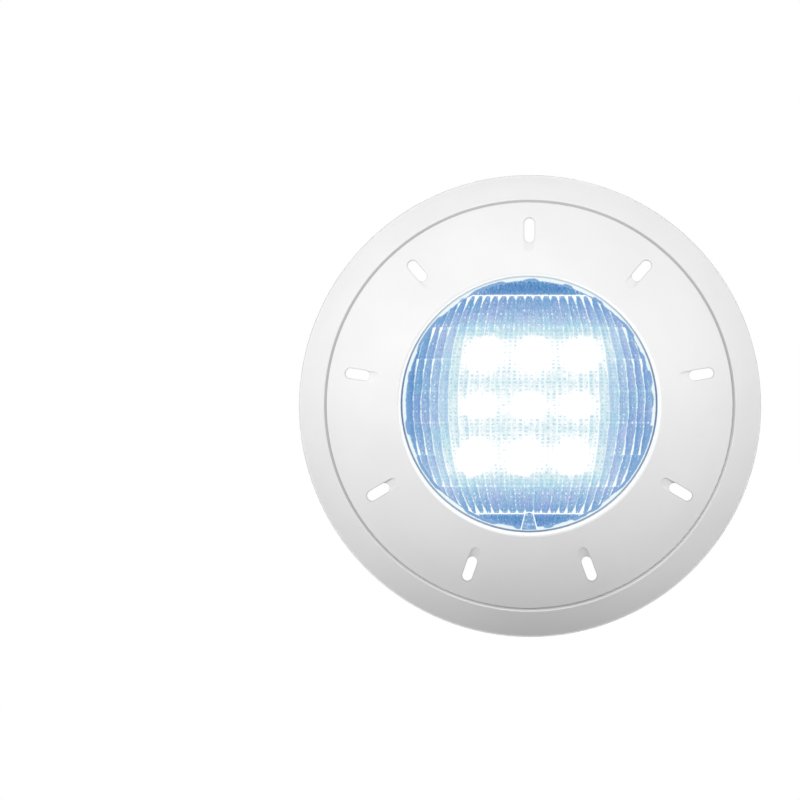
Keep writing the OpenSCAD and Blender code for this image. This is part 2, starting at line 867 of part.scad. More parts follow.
module board_screws() color("lightgray") placed() at_board_screws()
    translate([0, 0, board_f]) screw(small_screw_d, board_screw_l);

module led_emitters() color("lightyellow") placed() at_leds() translate([0, 0, board_f]) {
    translate([-led_w / 2, -led_w / 2, 0]) cube([led_w, led_w, led_t]);
    intersection() {
        translate([0, 0, led_t]) sphere(led_dome_r);
        cylinder(r = led_w, h = led_t + led_dome_r + cut);
    }
}

// A solid lens over each LED, hollowed where the LED sits
module led_optics() color("aliceblue", 0.6) placed() at_leds() translate([0, 0, board_f])
    rotate_extrude() difference() {
        polygon([
            [0, 0],
            [optic_foot_d / 2, 0],
            [optic_d / 2, optic_h - optic_edge],
            [optic_d / 2, optic_h],
            [0, optic_h]
        ]);
        translate([0, -cut]) square([optic_pocket_r, led_t + led_dome_r + optic_pocket_gap + cut]);
    }

module heat_sink() color("silver") placed() difference() {
    union() {
        disc_at(sink_flange_d / 2, drum_in_a, drum_in_a + sink_flange_t);
        disc_at(sink_column_d / 2, drum_in_a, board_b);
        disc_at(sink_hole_d / 2 - plug_fit, drum_b - sink_plate_t, drum_in_a + eps);
        intersection() {
            disc_at(sink_hole_d / 2 - fin_margin, fin_b, drum_b);
            for (i = [-fin_half_count : fin_half_count])
                translate([i * fin_pitch - fin_t / 2, -sink_hole_d / 2, fin_b])
                    cube([fin_t, sink_hole_d, drum_b - fin_b]);
        }
    }
    at_board_screws() translate([0, 0, board_b - board_screw_l])
        cylinder(d = small_screw_d + 2 * thread_fit, h = board_screw_l + cut);
    round_copies(sink_screw_count, 0) translate([sink_screw_r, 0, 0])
        hole(sink_screw_d + 2 * hole_fit, drum_in_a, drum_in_a + sink_flange_t);
}

// The ring as it lies squeezed in its groove
module sink_seal() color("dimgray") placed() rotate_extrude() intersection() {
    translate([seal_r, drum_in_a - seal_groove / 2]) circle(d = seal_d, $fn = 48);
    translate([0, drum_in_a - seal_groove]) square([seal_r + seal_d, seal_groove]);
}

module sink_screws() color("lightgray") placed() round_copies(sink_screw_count, 0)
    translate([sink_screw_r, 0, drum_in_a + sink_flange_t]) screw(sink_screw_d, sink_screw_l);

// ---- Lamp: driver ----

module driver_board() color("seagreen") placed() difference() {
    rotate(gland_angle + driver_open / 2) rotate_extrude(angle = 360 - driver_open)
        translate([driver_in, driver_b]) square([driver_out - driver_in, driver_t]);
    for (t = driver_post_angles)
        rotate(t) translate([driver_r, 0, 0]) hole(small_screw_d + 2 * hole_fit, driver_b, driver_f);
}

module driver_screws() color("lightgray") placed() for (t = driver_post_angles)
    rotate(t) translate([driver_r, 0, driver_f]) screw(small_screw_d, small_screw_l);

module driver_inductor() color("saddlebrown") placed()
    rotate(coil_angle) translate([driver_r, 0, driver_f]) {
        cylinder(d = coil_d, h = coil_h * coil_flange);
        cylinder(d = coil_d * coil_waist, h = coil_h);
        translate([0, 0, coil_h * (1 - coil_flange)]) cylinder(d = coil_d, h = coil_h * coil_flange);
    }

module driver_capacitors() color("midnightblue") placed() for (t = cap_angles)
    rotate(t) translate([driver_r, 0, driver_f]) difference() {
        cylinder(d = cap_d, h = cap_h);
        translate([0, 0, cap_h - cap_dish]) cylinder(d = cap_d - 2 * cap_rim, h = cut);
    }

module driver_chips() color("darkslategray") placed() for (t = chip_angles)
    rotate(t) translate([driver_r - chip_size[0] / 2, -chip_size[1] / 2, driver_f]) cube(chip_size);

module terminal_block() color("forestgreen") placed() rotate(terminal_angle)
    translate([driver_r - terminal_size[0] / 2, -terminal_size[1] / 2, driver_f]) difference() {
        cube(terminal_size);
        for (i = [0 : terminal_ways - 1])
            translate([0, (i + 0.5) * terminal_size[1] / terminal_ways, 0]) {
                translate([terminal_size[0] / 2, 0, terminal_size[2] - terminal_screw_t])
                    cylinder(r = terminal_screw_r, h = terminal_screw_t + cut);
                translate([-cut, -terminal_mouth[1] / 2, terminal_mouth_a])
                    cube(terminal_mouth + [cut, 0, 0]);
            }
    }

module board_leads() color("firebrick") placed() at_leads()
    translate([0, 0, driver_f]) cylinder(d = lead_d, h = board_f - driver_f + lead_proud);

// ---- Cable gland ----

module at_gland(x) {
    placed() rotate(gland_angle) translate([x, 0, gland_a]) rotate([0, 90, 0]) children();
}

module gland_body() color("dimgray") at_gland(0) difference() {
    union() {
        translate([0, 0, gland_pad_in - locknut_t - gland_tail])
            cylinder(d = gland_d, h = gland_hex_x - gland_pad_in + locknut_t + gland_tail + eps);
        translate([0, 0, gland_hex_x]) hexagon(gland_flats, gland_hex_t);
        translate([0, 0, gland_thread_x - eps]) cylinder(d = gland_neck_d, h = gland_thread_l + eps);
    }
    hole(gland_bore_d, gland_pad_in - locknut_t - gland_tail, gland_thread_x + gland_thread_l);
}

module gland_ring() color("black") at_gland(gland_pad_out) difference() {
    cylinder(r = gland_flats / 2, h = gland_ring_t);
    hole(gland_d + 2 * thread_fit, 0, gland_ring_t);
}

module gland_locknut() color("dimgray") at_gland(gland_pad_in - locknut_t) difference() {
    hexagon(gland_flats, locknut_t);
    hole(gland_d + 2 * thread_fit, 0, locknut_t);
}

module gland_seal() color("black") at_gland(gland_seal_x) difference() {
    cylinder(d = gland_neck_d, h = gland_seal_l);
    hole(gland_bore_d, 0, gland_seal_l);
}

module gland_nut() color("dimgray") at_gland(gland_nut_x) difference() {
    hexagon(gland_flats, gland_nut_l);
    hole(gland_bore_d + gland_nut_gap, 0, gland_nut_l);
    translate([0, 0, -cut])
        cylinder(d = gland_neck_d + 2 * thread_fit, h = gland_seal_x + gland_seal_l - gland_nut_x + cut);
}

mounting_base();
conduit_grommet();
front_cover();
lamp_clips();
clip_screws();
glass_lens();
lens_gasket();
lamp_shell();
rim_band();
band_screw();
band_nut();
slip_ring();
reflector();
led_board();
board_screws();
led_emitters();
led_optics();
heat_sink();
sink_seal();
sink_screws();
driver_board();
driver_screws();
driver_inductor();
driver_capacitors();
driver_chips();
terminal_block();
board_leads();
gland_body();
gland_ring();
gland_locknut();
gland_seal();
gland_nut();
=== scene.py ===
"""An underwater pool light: a white plastic dome with a lit, fluted glass lens in its mouth.

The light faces -Y with its back at y = 0, and +Z is up. Lengths are in metres.
"""

import math

import bpy
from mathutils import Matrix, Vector


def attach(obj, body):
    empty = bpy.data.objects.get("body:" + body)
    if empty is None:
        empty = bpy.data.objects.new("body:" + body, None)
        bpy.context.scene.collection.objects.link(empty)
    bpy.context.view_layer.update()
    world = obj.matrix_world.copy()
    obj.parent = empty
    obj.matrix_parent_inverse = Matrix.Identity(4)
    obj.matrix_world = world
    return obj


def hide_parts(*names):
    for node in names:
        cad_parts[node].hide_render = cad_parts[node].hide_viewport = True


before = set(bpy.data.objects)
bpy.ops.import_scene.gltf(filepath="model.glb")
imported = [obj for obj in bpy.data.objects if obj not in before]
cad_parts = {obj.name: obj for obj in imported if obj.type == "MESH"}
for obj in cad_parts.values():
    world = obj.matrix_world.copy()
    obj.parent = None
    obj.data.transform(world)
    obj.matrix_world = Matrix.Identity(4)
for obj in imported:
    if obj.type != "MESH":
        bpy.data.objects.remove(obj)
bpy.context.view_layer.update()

MM = 0.001

# The lens: its dome's sphere, its wall, the flange that the rim band holds and the arched pad
LENS_R = 79.2 * MM
LENS_SPHERE_R = 143.67 * MM
LENS_CENTRE_Y = 53.17 * MM
GLASS_T = 4 * MM
BORE_R = 76.2 * MM
FLANGE_R = 87.8 * MM
FLANGE_FRONT_Y = -56.49 * MM
FLANGE_BACK_Y = -52.69 * MM
PAD_W = 10.8 * MM
PAD_SHOULDER_W = 6.2 * MM
PAD_TOP_Z = -67.2 * MM
PAD_SHOULDER_Z = -69.1 * MM
PAD_FOOT_Z = -78.3 * MM
PAD_T = 0.8 * MM
# The flutes run like meridians of a smaller sphere, and lines divide them into bands
FLUTE_SPHERE_R = 97.6 * MM
FLUTE_ANGLE = 2 * math.pi / 88
FLUTE_DEPTH = 0.8 * MM
FLUTES_EACH_SIDE = 13
POINTS_PER_FLUTE = 6
BAND_TOP = 66.6 * MM
BAND_H = 19.57 * MM
BAND_COUNT = 7
LAST_BAND_H = 16.65 * MM
ROWS_PER_BAND = 8
OUTER_COLUMNS = 96
# The LEDs behind it
LED_PITCH_X = 30.1 * MM
LED_PITCH_Z = 31.4 * MM
# The slots in the cover and the groove between cover and base
SLOT_COUNT = 9
SLOT_IN = 101.4 * MM
SLOT_OUT = 116.9 * MM
SLOT_W = 6.4 * MM
BASE_FRONT = 24.7 * MM
BASE_FRONT_R = 129.2 * MM
COVER_BACK = 25.9 * MM
FOOT_R = 145 * MM
LIP_R = 82.1 * MM
LIP_FRONT = 66 * MM
# The grain of the mould in plastic, and the scratches in metal
MOULD_GRAIN = 2200
GRAIN_STRENGTH = 0.12
GRAIN_DEPTH = 0.05 * MM
SCRATCHES = 900
SCRATCH_STRENGTH = 0.1
SCRATCH_DEPTH = 0.03 * MM
# Points closer than this are one point, and faces that meet at less than this angle are one face
WELD = 0.01 * MM
SMOOTH_ANGLE = math.radians(3)

CAMERA_DISTANCE = 8.0
PIXEL = 0.6277 * MM
FRAME_PIXELS = 800
OBJECT_PIXEL = (530, 406)
VIEW_AZIMUTH = math.radians(0.5)
VIEW_ELEVATION = math.radians(-1.1)
FLOOR_Z = -0.32
FLOOR_SIZE = 60
FLOOR_GREY = (0.42, 0.42, 0.42)
FLOOR_WHITE_SHARE = 0.85
FLOOR_WHITE = 1.14
# How much the studio shines from above and from below, where it turns, and its lamps
SKY_HIGH = 0.5
SKY_LOW = 0.3
SKY_TURN = (-0.4, 0.3)
SOFTBOXES = (
    ("key", (-0.4, -4.75, 1.6), 2.5, 128.0),
    ("left", (-4.5, -1.5, 0.6), 3.0, 97.0),
    ("right", (4.5, -1.5, 0.6), 3.0, 89.0),
)


# ---- Finishes ----

class Value:
    """A socket in a node tree. Arithmetic on it adds the node that works it out."""

    def __init__(self, nodes, socket):
        self.nodes = nodes
        self.socket = socket

    def math(self, operation, *others):
        return self.nodes.node("Math", {"operation": operation}, dict(enumerate((self, *others))))

    def __add__(self, other):
        return self.math("ADD", other)

    def __sub__(self, other):
        return self.math("SUBTRACT", other)

    def __mul__(self, other):
        return self.math("MULTIPLY", other)

    def __truediv__(self, other):
        return self.math("DIVIDE", other)

    def __pow__(self, other):
        return self.math("POWER", other)

    def __rsub__(self, other):
        return self.nodes.node("Math", {"operation": "SUBTRACT"}, {0: other, 1: self})

    __radd__ = __add__
    __rmul__ = __mul__

    def __abs__(self):
        return self.math("ABSOLUTE")

    def above(self, limit):
        return self.math("GREATER_THAN", limit)

    def below(self, limit):
        return self.math("LESS_THAN", limit)

    def at_least(self, limit):
        return self.math("MAXIMUM", limit)

    def at_most(self, limit):
        return self.math("MINIMUM", limit)

    def wrapped(self):
        """What is left of it above the next whole number down."""
        return self - self.math("FLOOR")

    def from_whole(self):
        """How far it is from the nearest whole number."""
        return abs(self - self.math("ROUND"))

    def step(self, start, end):
        """Rises smoothly from 0 at start to 1 at end; start may be the larger."""
        return self.nodes.node(
            "MapRange",
            {"interpolation_type": "SMOOTHSTEP"},
            {"Value": self, "From Min": start, "From Max": end},
        )


class Nodes:
    """A node tree under construction."""

    def __init__(self, tree):
        self.tree = tree

    def node(self, kind, settings=None, inputs=None, output=0):
        made = self.tree.nodes.new("ShaderNode" + kind)
        for name, value in (settings or {}).items():
            if name == "stops":
                self.set_stops(made.color_ramp, value)
            else:
                setattr(made, name, value)
        for name, value in (inputs or {}).items():
            self.feed(made.inputs[name], value)
        return Value(self, made.outputs[output])

    def set_stops(self, ramp, stops):
        while len(ramp.elements) < len(stops):
            ramp.elements.new(0.5)
        for element, (place, colour) in zip(ramp.elements, stops):
            element.position = place
            element.color = (*colour, 1)

    def feed(self, socket, value):
        if isinstance(value, Value):
            self.tree.links.new(value.socket, socket)
        elif isinstance(value, tuple) and len(value) == 3 and len(socket.default_value) == 4:
            socket.default_value = (*value, 1)
        else:
            socket.default_value = value

    def show(self, shader, output="Material Output"):
        """Makes a shader the one that the tree puts out."""
        self.feed(self.tree.nodes[output].inputs["Surface"], shader)


class Finish(Nodes):
    """A material under construction, with a Principled surface."""

    def __init__(self, name):
        self.material = bpy.data.materials.new(name + "_finish")
        self.material.use_nodes = True
        super().__init__(self.material.node_tree)
        self.shader = self.tree.nodes["Principled BSDF"]

    def surface(self, **inputs):
        for name, value in inputs.items():
            self.feed(self.shader.inputs[name.replace("_", " ").title().replace("Ior", "IOR")], value)

    def place(self):
        """The point's x, y and z on the object."""
        point = self.node("TexCoord", output="Object")
        return [self.node("SeparateXYZ", inputs={0: point}, output=axis) for axis in "XYZ"]

    def front_place(self):
        """The point's x and z on the object, in millimetres."""
        x, _, z = self.place()
        return x / MM, z / MM

    def vector(self, x, y, z):
        return self.node("CombineXYZ", inputs={0: x, 1: y, 2: z})

    def noise(self, scale, detail=2.0, point=None):
        if point is None:
            point = self.node("TexCoord", output="Object")
        return self.node("TexNoise", inputs={"Vector": point, "Scale": scale, "Detail": detail})

    def mix(self, share, first, second):
        return self.node("Mix", {"data_type": "RGBA"}, {0: share, 6: first, 7: second}, output=2)

    def bump(self, height, strength, distance):
        return self.node("Bump", inputs={"Height": height, "Strength": strength, "Distance": distance})


def moulded(name, light, dark, roughness, detail=None):
    """Injection-moulded plastic or rubber: a faint mottle, and the fine grain of the mould.

    detail paints shade and highlights into the colour in a piece's own places.
    """
    finish = Finish(name)
    cloud = finish.noise(18, 3)
    speck = finish.noise(MOULD_GRAIN, 2)
    shade = (cloud * 0.65 + speck * 0.35).step(0.3, 0.7)
    colour = finish.mix(shade, dark, light)
    if detail:
        colour = detail(finish, colour)
    finish.surface(
        base_color=colour,
        roughness=finish.noise(60, 3) * 0.12 + (roughness - 0.06),
        normal=finish.bump(speck, GRAIN_STRENGTH, GRAIN_DEPTH),
    )
    return finish.material


# Shares of painted shade in the corners of the plastic, and how much less of it there is low down
SHADE = (0.0, 0.0, 0.0)
LEDGE_SHADE, LEDGE_LESS = 0.4, 0.32
EDGE_SHADE, EDGE_LESS = 0.2, 0.16
FOOT_SHADE = 0.3
SLOT_SHADE = 0.26
# The colour of the painted highlight on the lip
LIP_HIGHLIGHT = (0.95, 0.96, 0.97)
# The painted highlight on the lip is a little off the axis, and fades at the top
LIP_SHIFT_X, LIP_SHIFT_Z = 0.5 * MM, -1.1 * MM
LIP_FADE = 0.6


def low_right(x, z):
    """0 over most of the dome, and 1 low down on it, more so on the right."""
    return (z - x * 0.3).step(-20 * MM, -120 * MM)


def base_painted_shade(finish, colour):
    """Painted shade on the base's front face, up to its bright outer edge, and round the foot."""
    x, y, z = finish.place()
    radius = (x * x + z * z) ** 0.5
    face = (y * -1).step(BASE_FRONT - 0.5 * MM, BASE_FRONT - 0.1 * MM)
    ledge_shade_mask = face * radius.step(BASE_FRONT_R - 0.4 * MM, BASE_FRONT_R - 0.7 * MM)
    foot = radius.step(FOOT_R - 0.55 * MM, FOOT_R - 0.35 * MM)
    ledge_share = LEDGE_SHADE - low_right(x, z) * LEDGE_LESS
    return finish.mix(ledge_shade_mask * ledge_share + foot * FOOT_SHADE, colour, SHADE)


def cover_painted_shade_and_highlight(finish, colour):
    """Painted shade on the cover's rounded rear edge and round each slot's hole, and a painted highlight
    on its lip.
    """
    x, y, z = finish.place()
    radius = (x * x + z * z) ** 0.5
    # Painted shade on the rounded rear edge
    edge = (y * -1).step(COVER_BACK + 1.9 * MM, COVER_BACK + 1.0 * MM)
    slots_round = z.math("ARCTAN2", x) * (SLOT_COUNT / (2 * math.pi)) - SLOT_COUNT / 4
    turn = (slots_round - slots_round.math("ROUND")) * (2 * math.pi / SLOT_COUNT)
    along = radius * turn.math("COSINE")
    across = radius * turn.math("SINE")
    middle = (SLOT_IN + SLOT_OUT) / 2
    beyond = (abs(along - middle) - (SLOT_OUT - SLOT_IN - SLOT_W) / 2).at_least(0)
    off = (beyond * beyond + across * across) ** 0.5 - SLOT_W / 2
    # A thin line of painted shade round each slot's hole
    line = off.step(0.75 * MM, 0.15 * MM)
    lip_x, lip_z = x - LIP_SHIFT_X, z - LIP_SHIFT_Z
    lip = ((lip_x * lip_x + lip_z * lip_z) ** 0.5).step(LIP_R + 0.1 * MM, LIP_R - 0.4 * MM)
    front = (y * -1).above(LIP_FRONT - 1 * MM)
    fade = 1 - z.step(LIP_R - 9 * MM, LIP_R) * LIP_FADE
    edge_share = EDGE_SHADE - low_right(x, z) * EDGE_LESS
    colour = finish.mix(edge * edge_share + line * SLOT_SHADE, colour, SHADE)
    return finish.mix(lip * front * fade, colour, LIP_HIGHLIGHT)


def metal(name, light, dark, roughness):
    """Bare metal: drawn or cast, with fine scratches that vary its gloss."""
    finish = Finish(name)
    x, y, z = finish.place()
    streak = finish.noise(SCRATCHES, 3, finish.vector(x, y * 0.08, z * 0.5))
    cloud = finish.noise(40, 2)
    finish.surface(
        base_color=finish.mix(cloud.step(0.3, 0.7), dark, light),
        roughness=streak * 0.2 + (roughness - 0.1),
        normal=finish.bump(streak, SCRATCH_STRENGTH, SCRATCH_DEPTH),
        metallic=1.0,
    )
    return finish.material


# The colours of the light in the glass, painted as glow, from its darkest to white
GLOW_STOPS = [
    (0.00, (0.034, 0.18, 0.43)),
    (0.20, (0.105, 0.275, 0.55)),
    (0.40, (0.174, 0.343, 0.606)),
    (0.55, (0.291, 0.429, 0.665)),
    (0.70, (0.399, 0.578, 0.751)),
    (0.80, (0.466, 0.703, 0.79)),
    (0.90, (0.69, 0.826, 0.83)),
    (1.00, (1.00, 1.00, 1.00)),
]


GLOWING_BASE = (0.02, 0.03, 0.05)
GLOWING_ROUGHNESS = 0.9


def glow_colour(finish, level):
    return finish.node("ValToRGB", {"stops": GLOW_STOPS}, {0: level})


def glowing(finish, colour):
    """Ends a finish of painted light: it shines in a colour and reflects next to nothing."""
    finish.surface(
        base_color=GLOWING_BASE,
        roughness=GLOWING_ROUGHNESS,
        specular_ior_level=0.0,
        emission_color=colour,
        emission_strength=1.0,
    )
    finish.material.cycles.emission_sampling = "NONE"
    return finish.material


# Where the painted light of the LEDs stands behind the flutes, in millimetres. Its rows lean, and lie
# off the axis
LED_LEAN = 0.085
LED_SHIFT_X, LED_SHIFT_Z = 0.4, 1.4
LIT_HALF_W, LIT_HALF_H = 45, 40
FALL_OFF = 16
# A painted spot's rim and halo, each from the outside in, and the painted light smeared between spots
SPOT_RIM = (12.8, 6.8)
HALO_RIM, HALO_LEVEL = (26, 9), 0.075
SMEAR_RIM, SMEAR_LEVEL, SMEAR_MORE = (12, 1), 0.06, 0.03
MIDDLE_ROW_FLATTER = 0.4
# Levels on the scale of GLOW_STOPS: among the LEDs, and lost for each millimetre outwards
LIT_LEVEL = 0.92
LEVEL_PER_MM = 0.019
TINTS = ((0.94, 1.02, 1.0), (1.07, 0.98, 1.02))
# Beyond the first and the last line: radii of the painted white teeth, and of the dark they stand round
TEETH = (75.4, 76.2)
DARK_CORE = (74.2, 73.2)
# Height between the dots and dashes along a flute
DOT_PITCH = 2.3


def flute_turn(x, z):
    """How many flutes a point is from the middle one, round the flutes' sphere."""
    reach = (FLUTE_SPHERE_R ** 2 / MM ** 2 - z * z).at_least(1) ** 0.5
    return (x / reach).at_least(-1).at_most(1).math("ARCSINE") / FLUTE_ANGLE


def bands_down(z):
    """How many bands down a point is, with the last band stretched to the others' height."""
    top, height, last = BAND_TOP / MM, BAND_H / MM, LAST_BAND_H / MM
    last_line = top - (BAND_COUNT - 1) * height
    beyond = (last_line - z).at_least(0)
    return (top - z + beyond * (height / last - 1)) / height


def led_spots(x, z, wobble, ragged):
    """Nine painted, blown-out spots of light with ragged edges and halos; those of the middle row are
    flatter.
    """
    pitch_x, pitch_z = LED_PITCH_X / MM, LED_PITCH_Z / MM
    column = (x / pitch_x).math("ROUND").at_least(-1).at_most(1)
    row = (z / pitch_z).math("ROUND").at_least(-1).at_most(1)
    near_x = x - column * pitch_x
    near_z = (z - row * pitch_z) * (1 + MIDDLE_ROW_FLATTER - abs(row) * MIDDLE_ROW_FLATTER)
    near = (near_x * near_x + near_z * near_z) ** 0.5 + wobble * 8
    inside = (abs(x) - pitch_x * 1.5).step(0, -10)
    smear = abs(near_z).step(*SMEAR_RIM) * inside * (SMEAR_LEVEL + abs(row) * SMEAR_MORE)
    return (near + ragged * 9).step(*SPOT_RIM) + near.step(*HALO_RIM) * HALO_LEVEL + smear


def lit_flutes():
    """The back of the lens, with the light of nine LEDs painted on its flutes as glow."""
    finish = Finish("lit_flutes")
    x, z = finish.front_place()
    front = finish.vector(x, 0, z)
    radius = (x * x + z * z) ** 0.5
    turn = flute_turn(x, z)
    wobble = finish.noise(0.30, 2, front) - 0.5
    drift = finish.noise(0.07, 1, front) - 0.5
    ragged = finish.noise(0.9, 2, front) - 0.5
    phase = (abs(turn + wobble * 0.15 + drift * 0.4) + 0.5).wrapped()
    ridge = 0.5 - abs(phase - 0.5)
    side = (abs(turn) / 11 - 0.18).at_least(0).at_most(1)

    # How far a point is towards the outer end of its band: up in the upper bands, down in the lower
    height = BAND_H / MM
    bands = bands_down(z)
    along = bands.wrapped()
    upper = bands.below(3)
    lower = bands.above(4)
    outward = upper * (1 - along) + lower * along + (1 - upper - lower) * 0.45

    lean_x = x - z * LED_LEAN + LED_SHIFT_X
    lean_z = z + LED_SHIFT_Z
    spots = led_spots(lean_x, lean_z, wobble, ragged)

    # The light falls off outwards from the LEDs' square. It is stronger at the right edge, and
    # weaker at the upper left and the upper right
    out_x = (abs(lean_x) - LIT_HALF_W).at_least(0)
    out_z = (abs(lean_z) - LIT_HALF_H).at_least(0) * 1.1
    outside = (out_x * out_x + out_z * out_z) ** 0.5
    far = outside.step(0, FALL_OFF)
    clear = outside.step(5, FALL_OFF + 3)
    level = LIT_LEVEL - outside * LEVEL_PER_MM
    level = level + (phase - 0.5) * side * 0.36 - side * side * 0.12
    level = level + (x - 62 - abs(z) * 0.15).at_least(0) * 0.02
    level = level - (z * 0.8 - x - 70).at_least(0) * 0.004 - (z + x - 85).at_least(0) * 0.003

    # A ridge is a painted bright line of light that widens to a tooth towards the outer end of its band
    from_middle = abs(bands - BAND_COUNT / 2)
    rank = (from_middle + 0.5).math("FLOOR") / 3
    spread = rank ** 4 * (1 - side) + rank ** 0.8 * side
    uneven = finish.noise(1.0, 2, finish.vector(turn * 1.3, 0, z * 0.22)) - 0.5
    start = 0.72 - side * 0.6 + uneven * 0.3
    tooth = ((outward - start) / (1 - start)).at_least(0) ** (2.4 - side * 1.2) * spread
    width = 0.035 + side * 0.02 + tooth * (0.15 + side * 0.16) + uneven * 0.05
    bright = (0.12 + side * 0.34 + tooth * 1.1 + uneven * 0.9).at_least(0).at_most(1)
    ridges = ridge.step(width * 1.6, width * 0.5) * bright * (0.1 + clear * 0.9)

    # Painted speckle of light: dashes among the LEDs, and dots outside them
    grid_x = (turn * 2).from_whole()
    grid_z = (z / DOT_PITCH).from_whole()
    cells = finish.noise(1.0, 2, finish.vector(turn * 2.1, 0, z * 0.55))
    dashes = grid_x.step(0.16, 0.3) * grid_z.step(0.12, 0.3) * cells.step(0.44, 0.54)
    dots = grid_x.step(0.24, 0.08) * grid_z.step(0.3, 0.1) * cells.step(0.5, 0.6)
    streaks = finish.noise(1.0, 2, finish.vector(turn * 3.3, 0, z * 0.16)) - 0.5
    threads = finish.noise(1.0, 2, finish.vector(turn * 8, 0, z * 0.5)) - 0.5
    level = level - dashes * (1 - far) * (0.13 + threads * 0.5) + dots * far * 0.4
    level = level + streaks * (0.2 + far * 0.14) + threads * (0.16 + far * 0.5) + ragged * 0.2

    # Faint painted lines of light between bands, and bold ones at the first and the last
    lines = bands.from_whole() * height
    faint = lines.step(0.8, 0.3) * 0.1 * far
    ends = abs(from_middle - BAND_COUNT / 2) * height
    bold = ends.step(0.6, 0.2) * (0.7 + uneven) + ends.step(2.2, 0.6) * (0.18 + threads)

    # Beyond the bold lines the painted glow is darker, with a toothed white edge of painted light
    cap = (bands.below(0) + bands.above(BAND_COUNT)).at_most(1)
    jag = (turn * 1.6).from_whole() * (2 + wobble * 12) + ragged * 3
    teeth = (radius + jag).step(*TEETH)
    core = (radius + jag + threads * 6).step(*DARK_CORE)
    level = level + ridges * (1 - cap * 0.85) + faint + spots + bold
    level = level + cap * (teeth * 0.4 - core * 0.12 - 0.04)
    level = level.at_most(1).at_least(0)
    tint = finish.mix((drift * 2.4 + streaks * 0.8).step(-0.35, 0.35), *TINTS)
    tinted = finish.node(
        "Mix",
        {"data_type": "RGBA", "blend_type": "MULTIPLY"},
        {0: level.step(0.95, 0.7), 6: glow_colour(finish, level), 7: tint},
        output=2,
    )
    return glowing(finish, tinted)


# The dark of the lens's wall, painted into the shoulder's glow
WALL_NAVY = (0.10, 0.19, 0.34)


def clear_glass():
    """Pressed glass, clear over the bore. Its shoulder glows with painted stray light, and its wall is
    painted dark.
    """
    finish = Finish("clear_glass")
    wave = finish.noise(70, 2)
    finish.surface(
        base_color=finish.mix(wave, (0.97, 0.985, 1.0), (0.99, 1.0, 1.0)),
        roughness=finish.noise(300, 2) * 0.02 + 0.01,
        normal=finish.bump(wave, 0.08, 0.2 * MM),
        transmission_weight=1.0,
        ior=1.47,
    )
    x, z = finish.front_place()
    front = finish.vector(x, 0, z)
    radius = (x * x + z * z) ** 0.5
    patch = finish.noise(0.055, 1, front)
    fine = finish.noise(0.5, 2, front) - 0.5
    start = BORE_R / MM + 0.1 + patch.step(0.46, 0.56) * 1.4
    level = 0.45 + (radius + fine * 1.2 - start).step(0, 0.8) * 0.5
    dark = 0.35 + (abs(x) / radius) ** 4 * 0.6 + (0.2 - z / radius).at_least(0) ** 3 * 0.3
    edge = (radius + fine * 0.3).step(LENS_R / MM - 0.6, LENS_R / MM - 0.2) * dark.at_most(1)
    stray = finish.node("BsdfPrincipled", inputs={
        "Base Color": GLOWING_BASE,
        "Roughness": GLOWING_ROUGHNESS,
        "Specular IOR Level": 0.0,
        "Emission Color": finish.mix(edge, glow_colour(finish, level), WALL_NAVY),
        "Emission Strength": 1.0,
    })
    shoulder = radius.above(BORE_R / MM + 0.1)
    clear = Value(finish, finish.shader.outputs[0])
    finish.show(finish.node("MixShader", inputs={0: shoulder, 1: clear, 2: stray}))
    finish.material.cycles.emission_sampling = "NONE"
    return finish.material


def lit_pad():
    """The arched pad, painted as glowing: deep blue, with a painted white highlight along its edge."""
    finish = Finish("lit_pad")
    x, z = finish.front_place()
    rise = (PAD_TOP_Z - PAD_SHOULDER_Z) / MM
    slope = (PAD_W - PAD_SHOULDER_W) / (PAD_SHOULDER_Z - PAD_FOOT_Z) / 2
    half = (PAD_SHOULDER_Z / MM - z).at_least(0) * slope + PAD_SHOULDER_W / MM / 2
    up = (z - PAD_SHOULDER_Z / MM).at_least(0) / rise
    out = ((x / half) * (x / half) + up * up) ** 0.5
    edge = (out - 1) * (half + (rise - half) * up.at_most(1))
    fine = finish.noise(0.5, 3, finish.vector(x, 0, z))
    level = 0.4 + fine.step(0.45, 0.65) * 0.35 + edge.step(-0.8, -0.45)
    return glowing(finish, glow_colour(finish, level.at_most(1)))


# ---- Modelling ----

def deselect():
    if bpy.context.mode != "OBJECT":
        bpy.ops.object.mode_set(mode="OBJECT")
    bpy.ops.object.select_all(action="DESELECT")


def new_piece(name):
    """Names the primitive that was just added."""
    piece = bpy.context.object
    piece.name = name
    piece.data.name = name
    return piece


# The lens's finishes, by material slot
GLASS_SLOT, FLUTES_SLOT, PAD_SLOT = range(3)
LENS_FINISHES = (clear_glass, lit_flutes, lit_pad)
# The grids reach this far past the lens's edge, and are then drawn in to it
GRID_MARGIN = 3 * MM
# The pad starts this deep in the glass, and this share of its rows is in its arch
PAD_ROOT = 1 * MM
PAD_COLUMNS, PAD_ROWS = 12, 24
ARCH_SHARE = 0.6


def add_grid(name, columns, rows, point, slot, materials):
    """A grid of points that are a function of how far across (-1 to 1) and down (0 to 1) they are."""
    deselect()
    bpy.ops.mesh.primitive_grid_add(x_subdivisions=columns, y_subdivisions=rows, size=1)
    piece = new_piece(name)
    for vertex in piece.data.vertices:
        vertex.co = point(2 * vertex.co.x, 0.5 - vertex.co.y)
    for material in materials:
        piece.data.materials.append(material)
    for face in piece.data.polygons:
        face.material_index = slot
    return piece


